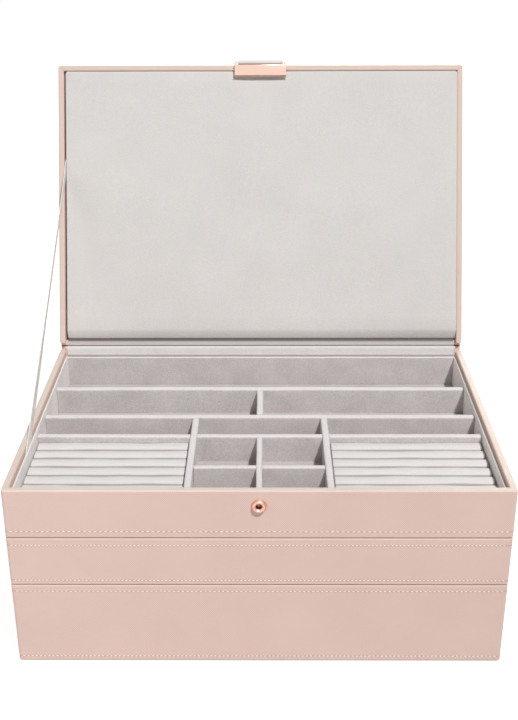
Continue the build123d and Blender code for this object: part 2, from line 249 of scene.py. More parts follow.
# painted shade: deep in the hinge's groove, under the lining's lower edge and in the lid pad's shade it is
# painted dark too
hingeShade = {"lidFrom": 155 * mm, "lidSoft": 0.4 * mm, "lidShare": 0.6, "lidColour": paint(150, 141, 138),
              "padFrom": 157.1 * mm, "padSoft": 0.6 * mm, "padShare": 0.8, "padColour": paint(96, 86, 84),
              "groove": 122.6 * mm, "grooveTop": 154.9 * mm, "grooveSoft": 0.3 * mm,
              "hem": 147.4 * mm, "hemSoft": 0.5 * mm, "hemShare": 0.55, "colour": paint(112, 103, 101)}


def makeVelvet(name, light, dark, turn=0, nap=pile["cloud"], bloom=0.2, topLightAndShade=0.6, top=pile["top"],
               hingeShaded=False, deep=None):
    f = Finish(name, turn)
    cloud = f.noise(nap, 4, 0.6)
    fibre = f.noise(pile["fibre"], 3, 0.7)
    fleck = f.noise(pile["fleck"], 3, 0.65)
    blend = cloud + fibre * pile["fibreShare"] + fleck * pile["fleckShare"] - pile["shift"]
    colour = f.mixed(blend, dark, light)
    x, y, z = f.parts(f.place)
    upward = f.facing()[2]
    # painted light and shade: up-facing sides are painted toward the top colour, lighter on the boards and
    # rolls for the light from above, darker on the hinge lining for its fold line
    colour = f.mixed((upward.atLeast(0) * topLightAndShade).atMost(1), colour, top)
    # painted shade below a height, down between the rolls
    if deep:
        colour = f.mixed(z.below(deep, rollGapShade["soft"]).atMost(rollGapShade["most"]), colour, rollGapShade["colour"])
    # painted shade on the hinge lining: in its groove, under its lower edge, on the lid's strip and in the
    # pad's shadow
    if hingeShaded:
        s = hingeShade
        groove = y.above(s["groove"], s["grooveSoft"]) * z.below(s["grooveTop"], s["grooveSoft"])
        hem = z.below(s["hem"], s["hemSoft"])
        colour = f.mixed(z.above(s["lidFrom"], s["lidSoft"]) * s["lidShare"], colour, s["lidColour"])
        colour = f.mixed(z.above(s["padFrom"], s["padSoft"]) * s["padShare"], colour, s["padColour"])
        colour = f.mixed(groove.atLeast(hem * s["hemShare"]), colour, s["colour"])
    return f.done(Base_Color=colour, Roughness=0.9, Sheen_Weight=bloom, Sheen_Roughness=0.35,
                  Specular_IOR_Level=0.12, Normal=f.raised(fibre + fleck, pile["depth"], pile["strength"]))


brushLines = {"scale": 900.0, "stretch": 0.03, "unevenness": 0.03}


def makeMetal(name, colour, roughness):
    f = Finish(name)
    x, y, z = f.parts(f.place)
    lines = f.add("ShaderNodeTexNoise", {}, output="Fac", Scale=brushLines["scale"], Detail=2.0,
                  Vector=f.add("ShaderNodeCombineXYZ", {}, x * brushLines["stretch"], y, z))
    return f.done(Base_Color=colour, Metallic=1.0, Roughness=roughness + lines * brushLines["unevenness"])


woven = {"slant": 0.5, "weaveShare": 0.8, "cloudShare": 0.3, "cloud": 6 * mm, "depth": 0.06 * mm}


def makeCloth(name, light, dark, thread):
    f = Finish(name)
    x, y, z = f.parts(f.place)
    rate = math.pi / thread
    weave = (((x + y) * rate).sine() * ((z - y * woven["slant"]) * rate).sine()).size()
    blend = weave * woven["weaveShare"] + f.noise(woven["cloud"]) * woven["cloudShare"]
    return f.done(Base_Color=f.mixed(blend, dark, light), Roughness=0.85,
                  Normal=f.raised(weave, woven["depth"]), Specular_IOR_Level=0.2)


openTurn = case["openAngle"]
finishes = {
    "leather": makeLeather("blushLeather"),
    # where the tiers meet, the seams are painted shade in the gap between them; the others are stitch rows
    "upperLeather": makeLeather("blushLeatherUpper", seams=[116.5, 111.3]),
    "middleLeather": makeLeather("blushLeatherMiddle", seams=[110.9, 104.9, 74.6, 70.8]),
    "bottomLeather": makeLeather("blushLeatherBottom", seams=[70.4, 64.9, 5.7]),
    "lidLeather": makeLeather("blushLeatherLid", openTurn, way=-1),
    # painted shade: a dark crease across the hinge skin for the shadowed slit between the lid's end and the
    # batten
    "hingeLeather": makeLeather("blushLeatherHinge", seams=[153.3], pull=1, crisp=3,
                                creaseShade=paint(84, 48, 42), behind=0.3),
    "velvet": makeVelvet("greyVelvet", paint(213, 207, 206), paint(177, 170, 169)),
    # the side walls' velvet is painted lighter than the rest, a painted light for the fill that reaches the
    # liners; the right one, facing away from the key lamp, is painted lighter still, with a near-white
    # painted highlight on its top edge
    "leftVelvet": makeVelvet("leftVelvet", paint(238, 232, 229), paint(206, 199, 197), bloom=0.3),
    "rightVelvet": makeVelvet("rightVelvet", paint(252, 247, 244), paint(230, 223, 220),
                              bloom=0.4, top=paint(255, 252, 250)),
    # the floor pads' velvet is a darker copy of the grey velvet, painted shade for the compartments' depths
    "floorVelvet": makeVelvet("floorVelvet", paint(196, 190, 189), paint(164, 157, 156), topLightAndShade=0.1),
    # the rolls' velvet is painted lighter on the up-facing tops than on the fronts, for how the light
    # falls, and dark down in the gaps: painted light and shade
    "rollVelvet": makeVelvet("rollVelvet", paint(206, 202, 200), paint(188, 183, 181),
                             bloom=0.5, top=paint(227, 224, 222), deep=135.3 * mm),
    # the hinge lining is painted lighter than the grey velvet, a painted light on the batten's face, and
    # darker on its up-facing parts, a painted shade for the fold line
    "hingeVelvet": makeVelvet("hingeVelvet", paint(237, 234, 232), paint(219, 215, 213),
                              bloom=0.12, topLightAndShade=0.8, top=paint(196, 190, 188), hingeShaded=True),
    "lidVelvet": makeVelvet("lidVelvet", paint(214, 210, 207), paint(200, 196, 193), openTurn,
                            nap=60 * mm, bloom=0.12, topLightAndShade=0),
    "roseGold": makeMetal("roseGold", paint(248, 214, 197), 0.1),
    "studGold": makeMetal("studGold", paint(218, 172, 154), 0.42),
    "steel": makeMetal("dullSteel", paint(120, 112, 110), 0.3),
    "strapCloth": makeVelvet("strapCloth", paint(230, 227, 224), paint(218, 214, 211),
                             bloom=0.12, topLightAndShade=0),
    "ribbon": makeCloth("ribbonWeave", paint(250, 247, 243), paint(228, 223, 217), 0.5 * mm),
    "thread": makeCloth("creamThread", paint(255, 240, 229), paint(250, 226, 213), 0.35 * mm),
    "felt": makeVelvet("baseFelt", paint(170, 165, 163), paint(150, 146, 144)),
}
slotFinish = {"pink_leather": "leather", "grey_velvet": "velvet", "roll_velvet": "rollVelvet",
              "lid_velvet": "lidVelvet", "base_felt": "felt", "rose_gold": "roseGold",
              "magnet_steel": "steel", "stay_ribbon": "ribbon", "strap_cloth": "velvet"}
slots = {s["node"]: s["material_slot"] for s in frame["record"]["subparts"]}
for name, node in frame["nodes"].items():
    # each shell has its own leather: upperLeather, lidLeather and so on
    finish = name.split("_")[0] + "Leather" if name.endswith("_shell") else slotFinish[slots[name]]
    node.data.materials.clear()
    node.data.materials.append(finishes[finish])
print("materials done")


def newPiece(name, b, finish, body=None, replaces=(), turn=None, sharp=40):
    # a bmesh made into a piece of the object, in place
    if turn:
        b.transform(turn)
    bmesh.ops.recalc_face_normals(b, faces=b.faces[:])
    mesh = bpy.data.meshes.new(name)
    b.to_mesh(mesh)
    b.free()
    mesh.materials.append(finishes[finish])
    mesh.polygons.foreach_set("use_smooth", [True] * len(mesh.polygons))
    mesh.set_sharp_from_angle(angle=math.radians(sharp))
    piece = bpy.data.objects.new(name, mesh)
    bpy.context.scene.collection.objects.link(piece)
    if body:
        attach(piece, body)
    if replaces:
        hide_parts(*replaces)
    return piece


def addTo(b, part):
    # drop one small bmesh into a bigger one
    mesh = bpy.data.meshes.new("part")
    part.to_mesh(mesh)
    part.free()
    b.from_mesh(mesh)
    bpy.data.meshes.remove(mesh)


def cubeBetween(b, low, high):
    low, high = Vector(low), Vector(high)
    shape = Matrix.Translation((low + high) / 2) @ Matrix.Diagonal((*(high - low), 1))
    bmesh.ops.create_cube(b, size=1, matrix=shape)


def sliced(b, axis, low, high, step):
    # cross-cuts, so that a long face can bend
    normal = Vector([float(i == axis) for i in range(3)])
    count = max(1, round((high - low) / step))
    for i in range(1, count):
        bmesh.ops.bisect_plane(b, geom=b.verts[:] + b.edges[:] + b.faces[:],
                               plane_co=normal * (low + (high - low) * i / count), plane_no=normal)


def edgesAlong(b, axis, test):
    # straight edges that run along one axis and whose middle passes the test
    found = []
    for e in b.edges:
        run = e.verts[1].co - e.verts[0].co
        if abs(run[axis]) > 0.999 * run.length and test((e.verts[0].co + e.verts[1].co) / 2):
            found.append(e)
    return found


def edgesWhere(b, test):
    # edges with both ends where the test says
    return [e for e in b.edges if all(test(v.co) for v in e.verts)]


def rounded(b, edges, radius, segments):
    bmesh.ops.bevel(b, geom=edges, offset=radius, segments=segments, profile=0.5, affect="EDGES",
                    material=-1, clamp_overlap=True)


def wave(spot, seed, row):
    # smooth unevenness along a line, the same on every run
    return noise.noise(Vector((spot, seed, row)))


def seedOf(text):
    # the same small number for a name on every run
    return sum(ord(c) * (i + 1) for i, c in enumerate(text)) % 97 * 0.37


# velvet-covered boards: liners and dividers
board = {"step": 7 * mm, "segments": 5, "endSoft": 0.5 * mm, "endSegments": 2, "dividerSoft": 0.26,
         "linerSoft": 0.62 * mm, "linerSway": 0.5, "backLinerLower": 0.6 * mm,
         "sway": 0.28 * mm, "swayLength": 34 * mm, "seedStep": 5.3, "liftShare": 0.8, "sink": 0.6}


def addBoard(b, low, high, soft, seed, sway):
    # one board with soft top edges, a little uneven as padded velvet is
    low, high = Vector(low), Vector(high)
    along = 0 if high.x - low.x > high.y - low.y else 1
    part = bmesh.new()
    cubeBetween(part, low, high)
    rounded(part, edgesAlong(part, along, lambda c: c.z > high.z - hair), soft, board["segments"])
    rounded(part, edgesAlong(part, 1 - along, lambda c: c.z > high.z - hair),
            board["endSoft"], board["endSegments"])
    bmesh.ops.remove_doubles(part, verts=part.verts[:], dist=weld)
    sliced(part, along, low[along], high[along], board["step"])
    height = high.z - low.z
    for v in part.verts:
        rise = max(0.0, (v.co.z - low.z) / height) ** 2
        spot = v.co[along] / board["swayLength"] + seed
        lean = wave(spot, seed, 0.0) + 0.4 * wave(spot * 3.1, seed, 2.0)
        lift = wave(spot, seed, 7.0) + 0.3 * wave(spot * 2.7, seed, 9.0)
        v.co[1 - along] += lean * rise * board["sway"] * sway
        v.co.z += (lift - board["sink"]) * rise * board["sway"] * board["liftShare"] * sway
    addTo(b, part)


def boardPiece(node, segments, soft, finish="velvet", sway=1.0):
    # segments: boxes as (low, high) that share one piece
    b = bmesh.new()
    for i, (low, high) in enumerate(segments):
        addBoard(b, low, high, soft, seedOf(node) + board["seedStep"] * i, sway)
    newPiece(node + "_covered", b, finish, node.split("_")[0] + "_tray", [node])


def splitBox(node, axis, cuts):
    # a node's box, cut into lengths where other boards cross it; cuts are (middle, half width)
    low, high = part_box(node)
    crossed = [p for middle, half in sorted(cuts) for p in (middle - half, middle + half)]
    edges = [low[axis]] + crossed + [high[axis]]
    parts = []
    for start, end in zip(edges[::2], edges[1::2]):
        partLow, partHigh = low.copy(), high.copy()
        partLow[axis], partHigh[axis] = start, end
        parts.append((partLow, partHigh))
    return parts


def middleOf(node, axis):
    low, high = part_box(node)
    return (low[axis] + high[axis]) / 2, (high[axis] - low[axis]) / 2


def makeBoards():
    crossings = {"upper_divider_ring": ["upper_divider_left", "upper_divider_right"],
                 "upper_divider_small": ["upper_divider_centre"]}
    for i in (1, 2):
        crossings[f"middle_divider_long_{i}"] = [f"middle_divider_cross_{k}" for k in (1, 2, 3)]
    for node in frame["nodes"]:
        if "divider" in node:
            low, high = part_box(node)
            thin = min(high.x - low.x, high.y - low.y)
            axis = 0 if high.x - low.x > high.y - low.y else 1
            cuts = [middleOf(crossing, 0) for crossing in crossings.get(node, [])]
            boardPiece(node, splitBox(node, axis, cuts), thin * board["dividerSoft"])
        elif "liner" in node:
            low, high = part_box(node)
            if node == "upper_tray_liner_back":
                high.z -= board["backLinerLower"]
            side = node.split("_")[-1]
            finish = side + "Velvet" if side in ("left", "right") else "velvet"
            boardPiece(node, [(low, high)], board["linerSoft"], finish, board["linerSway"])
    print("boards done")


def swell(piece, push, cap, held):
    # cloth blown up over its filling; "held" picks the points that are glued down
    frames = 20
    start = [v.co.copy() for v in piece.data.vertices]
    group = piece.vertex_groups.new(name="held")
    group.add([i for i, p in enumerate(start) if held(p)], 1.0, "REPLACE")
    cloth = piece.modifiers.new("cloth", "CLOTH")
    cloth.settings.use_pressure = True
    cloth.settings.uniform_pressure_force = push
    cloth.settings.effector_weights.gravity = 0
    cloth.settings.vertex_group_mass = "held"
    cloth.point_cache.frame_end = frames
    for step in range(1, frames + 1):
        bpy.context.scene.frame_set(step)
    applyAll(piece)
    bpy.context.scene.frame_set(1)
    most = 0
    for v, p in zip(piece.data.vertices, start):
        shift = v.co - p
        most = max(most, shift.length)
        if shift.length > cap:
            v.co = p + shift * (cap / shift.length)
    piece.vertex_groups.clear()
    print(piece.name, "swelled", round(most / mm, 2), "mm before the cap", len(start), "points")


def applyAll(piece):
    # turn the modifiers' result into the piece's own mesh
    graph = bpy.context.evaluated_depsgraph_get()
    made = bpy.data.meshes.new_from_object(piece.evaluated_get(graph))
    piece.modifiers.clear()
    old = piece.data
    piece.data = made
    bpy.data.meshes.remove(old)


# the lid's padded panel, drawn shut and swung open; "flush" brings it level with the rim,
# "droop" draws its back edge in over the hinge
lidPad = {"left": -176.1 * mm, "right": 177.7 * mm, "front": -120.2 * mm, "back": 121.3 * mm,
          "low": 152.7 * mm, "top": 162.4 * mm, "soft": 1.4 * mm, "corner": 2.5 * mm, "segments": 5,
          "step": 12 * mm, "fineStep": 1.5 * mm, "crown": 0.8 * mm, "crownPower": 6,
          "ripple": 0.25 * mm, "rippleLength": 60 * mm,
          "flush": 1.9 * mm, "flushFrom": 0.15, "flushReach": 1.1, "sideFrom": 0.5,
          "underBar": 0.45, "barReach": 32 * mm, "droop": 3.6 * mm, "droopLength": 9 * mm,
          "droopPower": 1.5, "push": 0.2, "cap": 0.7 * mm, "gluedDepth": 1 * mm, "gluedBack": 109 * mm,
          "gluedFront": -117 * mm, "gluedRight": 174 * mm, "barFront": -108 * mm, "barHalf": 30 * mm}


def makeLidPad():
    p = lidPad
    b = bmesh.new()
    cubeBetween(b, (p["left"], p["front"], p["low"]), (p["right"], p["back"], p["top"]))
    rounded(b, edgesAlong(b, 2, lambda c: True), p["corner"], p["segments"])
    rounded(b, edgesWhere(b, lambda c: c.z < p["low"] + hair), p["soft"], p["segments"])
    droopStart = p["back"] - p["droopLength"]
    sliced(b, 0, p["left"], p["right"], p["step"])
    sliced(b, 1, p["front"], droopStart, p["step"])
    sliced(b, 1, droopStart - p["fineStep"], p["back"], p["fineStep"])
    middle = Vector((p["left"] + p["right"], p["front"] + p["back"])) / 2
    reach = Vector((p["right"] - p["left"], p["back"] - p["front"])) / 2
    for v in b.verts:
        if v.co.z < p["top"] - hair:
            u, w = (v.co.x - middle.x) / reach.x, (v.co.y - middle.y) / reach.y
            dome = max(0.0, 1 - abs(u) ** p["crownPower"]) * max(0.0, 1 - abs(w) ** p["crownPower"])
            ripple = noise.noise(Vector((v.co.x / p["rippleLength"], v.co.y / p["rippleLength"], 3.0)))
            v.co.z -= dome * (p["crown"] + ripple * p["ripple"])
            # level with the rim at the front edge and on the right, lower behind the bar
            clear = min(1.0, max(p["underBar"], abs(v.co.x) / p["barReach"]))
            slack = max(0.0, (v.co.y - p["back"]) / p["droopLength"] + 1)
            atFront = clear * min(1.0, max(0.0, p["flushFrom"] - w) / p["flushReach"])
            atSide = max(0.0, u - p["sideFrom"]) / (1 - p["sideFrom"]) * (1 - slack)
            v.co.z -= p["flush"] * max(atFront, atSide)
            v.co.z += p["droop"] * slack ** p["droopPower"]
    pad = newPiece("lid_pad_cushion", b, "lidVelvet", "lid", ["lid_pad"], lidTurn)
    shut = lidTurn.inverted()

    def glued(point):
        q = shut @ point
        return (q.z > p["top"] - p["gluedDepth"] or q.y > p["gluedBack"] or q.y < p["gluedFront"]
                or point.x > p["gluedRight"] or q.y < p["barFront"] and abs(point.x) < p["barHalf"])

    swell(pad, p["push"], p["cap"], glued)
    print("lid pad done")


# ring rolls: foam rods under one velvet cover, side by side
roll = {"count": 7, "gap": 1.0 * mm, "frontCrown": 5.6 * mm, "frontSegments": 8, "backCrown": 1.3 * mm,
        "backSegments": 4, "end": 0.9 * mm, "endSegments": 3, "step": 6 * mm, "sway": 0.5 * mm,
        "swayLength": 26 * mm, "sink": 0.3, "seedStep": 3.7, "seed": {"left": 0, "right": 11},
        "push": 4, "cap": 0.35 * mm, "free": 7 * mm}


def addRoll(b, low, high, seed):
    # one rod, round in front and steep behind
    part = bmesh.new()
    cubeBetween(part, low, high)
    middle = (low.y + high.y + roll["gap"]) / 2

    def onEnd(e):
        upright = abs(e.verts[0].co.x - e.verts[1].co.x) < weld
        return (upright and min(v.co.z for v in e.verts) > low.z + hair
                and len({abs(f.normal.x) > 0.5 for f in e.link_faces}) == 2)

    rounded(part, edgesAlong(part, 0, lambda c: c.z > high.z - hair and c.y < middle),
            roll["frontCrown"], roll["frontSegments"])
    rounded(part, edgesAlong(part, 0, lambda c: c.z > high.z - hair and c.y > middle),
            roll["backCrown"], roll["backSegments"])
    rounded(part, [e for e in part.edges if onEnd(e)], roll["end"], roll["endSegments"])
    sliced(part, 0, low.x, high.x, roll["step"])
    for v in part.verts:
        rise = max(0.0, (v.co.z - low.z) / (high.z - low.z))
        spot = v.co.x / roll["swayLength"]
        v.co.y += roll["sway"] * rise * wave(spot, seed, 0.0)
        v.co.z += roll["sway"] * rise * (wave(spot, seed, 4.0) - roll["sink"])
    addTo(b, part)


def makeRolls():
    for side in ("left", "right"):
        node = "ring_rolls_" + side
        low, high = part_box(node)
        pitch = (high.y - low.y + roll["gap"]) / roll["count"]
        b = bmesh.new()
        for i in range(roll["count"]):
            front = low.y + pitch * i
            addRoll(b, Vector((low.x, front, low.z)), Vector((high.x, front + pitch - roll["gap"], high.z)),
                    i * roll["seedStep"] + roll["seed"][side])
        piece = newPiece(node + "_padded", b, "rollVelvet", "upper_tray", [node])
        swell(piece, roll["push"], roll["cap"], lambda q: q.z < high.z - roll["free"])
    print("ring rolls done")


floorPad = {"soft": 0.9 * mm, "segments": 4, "step": 14 * mm, "ripple": 0.2 * mm, "rippleLength": 30 * mm,
            "sink": 0.15 * mm, "push": 0.1, "cap": 0.3 * mm, "glued": 1 * mm}


def makeFloorPads():
    p = floorPad
    for tray in ("bottom", "middle", "upper"):
        node = tray + "_tray_floor_pad"
        low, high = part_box(node)
        b = bmesh.new()
        cubeBetween(b, low, high)
        rounded(b, edgesWhere(b, lambda c: c.z > high.z - hair), p["soft"], p["segments"])
        sliced(b, 0, low.x, high.x, p["step"])
        sliced(b, 1, low.y, high.y, p["step"])
        for v in b.verts:
            if v.co.z > low.z + hair:
                v.co.z += p["ripple"] * noise.noise(v.co / p["rippleLength"]) - p["sink"]
        piece = newPiece(tray + "_floor_cushion", b, "floorVelvet", tray + "_tray", [node])
        swell(piece, p["push"], p["cap"], lambda q: q.z < low.z + p["glued"])
    print("floor pads done")


def smoothLine(points, steps):
    # a smooth line through points, "steps" points to a span
    points = [Vector(p) for p in points]
    run = [points[0] * 2 - points[1]] + points + [points[-1] * 2 - points[-2]]
    line = []
    for a, b, c, d in zip(run, run[1:], run[2:], run[3:]):
        for i in range(steps):
            t = i / steps
            line.append(0.5 * (2 * b + (c - a) * t + (2 * a - 5 * b + 4 * c - d) * t * t
                               + (3 * b - a - 3 * c + d) * t ** 3))
    return line + [points[-1]]


def stripAlong(line, half, thickness, step):
    # a strip of cloth as wide as 2 x half along X, whose middle layer follows the line
    b = bmesh.new()
    verts = [b.verts.new((-half, p.y, p.z)) for p in line]
    edges = [b.edges.new(pair) for pair in zip(verts, verts[1:])]
    count = max(1, round(2 * half / step))
    for i in range(count):
        edges = extended(b, edges, (2 * half / count, 0, 0))
    bmesh.ops.recalc_face_normals(b, faces=b.faces[:])
    b.normal_update()
    for v in b.verts:
        v.co -= v.normal * thickness / 2
    bmesh.ops.solidify(b, geom=b.faces[:], thickness=-thickness)
    return b


def extended(b, edges, shift):
    # draw a row of edges out into a row of faces, and give the new row of edges
    made = bmesh.ops.extrude_edge_only(b, edges=edges)["geom"]
    bmesh.ops.translate(b, verts=[g for g in made if isinstance(g, bmesh.types.BMVert)], vec=shift)
    return [g for g in made if isinstance(g, bmesh.types.BMEdge)]


def lineLength(line):
    return sum((q - p).length for p, q in zip(line, line[1:]))


def place(y, z, turn=None):
    point = Vector((0, y * mm, z * mm))
    return turn @ point if turn else point


def pathOf(still, onLid):
    # a path in millimetres, first on the tray and then on the lid as drawn shut
    return [place(y, z) for y, z in still] + [place(y, z, lidTurn) for y, z in onLid]


batten = {"half": 176.7 * mm, "front": 119.5 * mm, "back": 122.7 * mm, "foot": 150.5 * mm,
          "top": 154.4 * mm, "backSlope": 1.1 * mm, "backSegments": 4, "frontSlope": 0.7 * mm,
          "frontSegments": 3}
# lining cloth over the hinge batten, down the fold and up to the lid's back edge
lining = {"half": 175.3 * mm, "thick": 0.4 * mm, "step": 12 * mm, "smooth": 5,
          "still": [(119.2, 145.8), (119.2, 150.0), (119.2, 152.8), (119.45, 154.0), (120.2, 154.65),
                    (121.3, 154.75), (122.2, 154.45), (122.8, 153.7), (123.2, 152.9), (123.7, 152.5),
                    (124.1, 152.8), (124.35, 153.5), (124.4, 154.3), (124.9, 155.2)],
          "onLid": [(125.1, 155.75), (124.4, 155.8), (123.3, 155.8), (122.5, 155.9), (122.0, 156.5),
                    (121.9, 158.0), (121.9, 161.5)]}
# the leather skin outside the hinge
skin = {"half": 181.9 * mm, "thick": 0.7 * mm, "step": 12 * mm, "smooth": 4,
        "still": [(125.9, 140.5), (125.9, 146.0), (125.9, 151.0), (125.85, 154.2), (125.9, 155.4)],
        "onLid": [(125.9, 157.0), (125.9, 159.5), (125.9, 163.6)]}


def makeHinge():
    p = batten
    b = bmesh.new()
    cubeBetween(b, (-p["half"], p["front"], p["foot"]), (p["half"], p["back"], p["top"]))
    rounded(b, edgesAlong(b, 0, lambda c: c.y > p["back"] - hair and c.z > p["foot"] + hair),
            p["backSlope"], p["backSegments"])
    rounded(b, edgesAlong(b, 0, lambda c: c.y < p["front"] + hair and c.z > p["foot"] + hair),
            p["frontSlope"], p["frontSegments"])
    newPiece("hinge_spine_wrapped", b, "leather", "upper_tray", ["hinge_spine"])
    p = lining
    half, line = p["half"], smoothLine(pathOf(p["still"], p["onLid"]), p["smooth"])
    strip = stripAlong(line, half, p["thick"], p["step"])
    cloth = newPiece("hinge_lining_cloth", strip, "hingeVelvet")
    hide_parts("hinge_lining", "lid_hinge_cloth")
    2 * half
    lineLength(line)
    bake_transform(cloth)
    p = skin
    half, line = p["half"], smoothLine(pathOf(p["still"], p["onLid"]), p["smooth"])
    strip = stripAlong(line, half, p["thick"], p["step"])
    cover = newPiece("hinge_leather_skin", strip, "hingeLeather")
    2 * half
    lineLength(line)
    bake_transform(cover)
    print("hinge done")


# clasp: strap over the lid's edge, with a metal bar on a pin
bar = {"half": 23.1 * mm, "back": -128.7 * mm, "thick": 3.0 * mm, "top": 142.85 * mm, "tall": 10.9 * mm,
       "foot": 1.6 * mm, "footSegments": 1, "edge": 0.18 * mm, "segments": 3, "backEdge": 0.3 * mm,
       "backSegments": 2, "margin": 1 * mm, "pin": (-129.8 * mm, 145.35 * mm), "hang": 4.9}
ear = {"radius": 1.25 * mm, "wide": 2.2 * mm, "inset": 0.25 * mm, "sides": 20, "flare": 0.1 * mm,
       "frontGap": 0.5 * mm, "backGap": 0.3 * mm, "sunk": 0.8 * mm, "edge": 0.25 * mm, "segments": 2,
       "bend": 1.0}
# the strap is drawn with the lid shut, then swung open with it
strap = {"half": 20.25 * mm, "thick": 0.8 * mm, "step": 5 * mm, "smooth": 5,
         "path": [(-126.0, 163.2), (-126.0, 158.0), (-126.05, 154.5), (-126.5, 152.3), (-127.6, 150.7),
                  (-128.9, 149.7), (-129.5, 149.0), (-129.55, 148.1), (-129.0, 147.5), (-128.0, 147.25),
                  (-127.0, 147.4), (-126.4, 147.9), (-126.4, 148.8), (-127.1, 149.35), (-128.0, 149.2),
                  (-128.7, 148.6)],
         "crest": (0, -126.3 * mm, 151.6 * mm), "across": (0, 0.559, -0.829)}


def addEar(b, side):
    # the boss at one end of the bar that holds the pin
    pinY, pinZ = bar["pin"]
    part = bmesh.new()
    inner, outer = side * (bar["half"] - ear["wide"]), side * (bar["half"] - ear["inset"])
    points = []
    for x in (inner, outer):
        for i in range(ear["sides"]):
            turn = math.tau * i / ear["sides"]
            across = (pinY + ear["radius"] * math.cos(turn), pinZ + ear["radius"] * math.sin(turn))
            points.append(part.verts.new((x, *across)))
        for y in (bar["back"] - bar["thick"] + ear["frontGap"], bar["back"] - ear["backGap"]):
            points.append(part.verts.new((x + side * ear["flare"], y, bar["top"] - ear["sunk"])))
    bmesh.ops.convex_hull(part, input=points)
    bent = [e for e in part.edges if e.calc_face_angle(0) > ear["bend"]]
    rounded(part, bent, ear["edge"], ear["segments"])
    addTo(b, part)


def makeClasp():
    p = bar
    b = bmesh.new()
    faceFront = p["back"] - p["thick"]
    cubeBetween(b, (-p["half"], faceFront, p["top"] - p["tall"]), (p["half"], p["back"], p["top"]))
    rounded(b, edgesAlong(b, 0, lambda c: c.y < faceFront + hair and c.z < p["top"] - p["margin"]),
            p["foot"], p["footSegments"])
    rounded(b, edgesWhere(b, lambda c: c.y < p["back"] - p["margin"]), p["edge"], p["segments"])
    rounded(b, edgesWhere(b, lambda c: c.y > p["back"] - hair), p["backEdge"], p["backSegments"])
    for side in (-1, 1):
        addEar(b, side)
    hang = turnAbout((0, *p["pin"]), -p["hang"])
    newPiece("clasp_bar_polished", b, "roseGold", "clasp_bar", ["clasp_bar"],
             clipTurn @ hang, sharp=30)
    p = strap
    half, line = p["half"], smoothLine([place(y, z) for y, z in p["path"]], p["smooth"])
    strip = stripAlong(line, half, p["thick"], p["step"])
    folded = newPiece("clasp_strap_folded", strip, "strapCloth", turn=lidTurn)
    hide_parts("clasp_strap", "lid_strap_root")
    2 * half
    lineLength(line)
    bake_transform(folded)
    print("clasp done")


# stud with its eyelet, turned about an axis along Y; pairs are radius and height in millimetres
stud = {"centre": (0, -125.5 * mm, 138.25 * mm), "smooth": 3, "sides": 48,
        "ring": [(5.3, 0.0), (5.45, 0.35), (5.3, 0.8), (5.05, 1.3), (4.85, 1.9), (4.5, 2.45), (3.9, 2.8),
                 (3.3, 2.75), (2.8, 2.35), (2.45, 1.9), (2.2, 1.6), (2.15, 0.6), (2.1, -3.0)],
        "ringBack": [(2.8, -3.0), (2.8, 0.0)],
        "magnet": [(0.0, -0.1), (1.0, -0.3), (1.7, -0.9), (2.08, -1.6)],
        "magnetBack": [(2.08, -3.0), (0.0, -3.0)]}


def makeStud():
    for key, finish, slot in (("ring", "studGold", "rose_gold"), ("magnet", "steel", "magnet_steel")):
        b = bmesh.new()
        shown, back = ([Vector((r * mm, -out * mm, 0)) for r, out in stud[part]]
                       for part in (key, key + "Back"))
        verts = [b.verts.new(p) for p in smoothLine(shown, stud["smooth"]) + back]
        # the ring's outline is closed by its tube, the magnet's ends on the axis
        ahead = verts[1:] + (verts[:1] if key == "ring" else [])
        edges = [b.edges.new(pair) for pair in zip(verts, ahead)]
        bmesh.ops.spin(b, geom=verts + edges, cent=(0, 0, 0), axis=(0, 1, 0), angle=math.tau,
                       steps=stud["sides"], use_merge=True)
        bmesh.ops.remove_doubles(b, verts=b.verts[:], dist=weld)
        bmesh.ops.translate(b, verts=b.verts[:], vec=stud["centre"])
        newPiece("front_eyelet_" + key, b, finish, "upper_tray",
                 ["front_eyelet"] if key == "ring" else ())
    print("stud done")


# the ribbon that stops the lid, a little twisted between its ends; twists are in degrees
ribbon = {"x": -176.7 * mm, "wide": 10 * mm, "thick": 0.5 * mm, "tray": (-67.6, 139.5),
          "lid": (189.45, 305.98), "count": 60, "twist": 10, "twistRate": 2.2, "twistBack": 3,
          "endRate": 8}


def makeRibbon():
    p = ribbon
    start, end = place(*p["tray"]), place(*p["lid"])
    side = Vector((p["x"], 0, 0))
    count = p["count"]
    run = (end - start).normalized()
    flat = Vector((0, -run.z, run.y))
    b = bmesh.new()
    verts = [b.verts.new(flat * p["wide"] * share) for share in (-0.5, -0.25, 0, 0.25, 0.5)]
    edges = [b.edges.new(pair) for pair in zip(verts, verts[1:])]
    line = [start.lerp(end, i / count) + side for i in range(count + 1)]
    for i in range(count):
        edges = extended(b, edges, (end - start) / count)
    for v in b.verts:
        t = v.co.dot(run) / (end - start).length
        ends = min(1.0, p["endRate"] * t) * min(1.0, p["endRate"] * (1 - t))
        twist = math.radians(p["twist"] * min(1.0, t * p["twistRate"]) - p["twistBack"]) * ends
        v.co = Matrix.Rotation(twist, 3, run) @ v.co + start + side
    bmesh.ops.recalc_face_normals(b, faces=b.faces[:])
    bmesh.ops.solidify(b, geom=b.faces[:], thickness=p["thick"])
    piece = newPiece("lid_stay_ribbon_woven", b, "ribbon")
    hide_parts("lid_stay_ribbon")
    lineLength(line)
    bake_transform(piece)
    print("ribbon done")


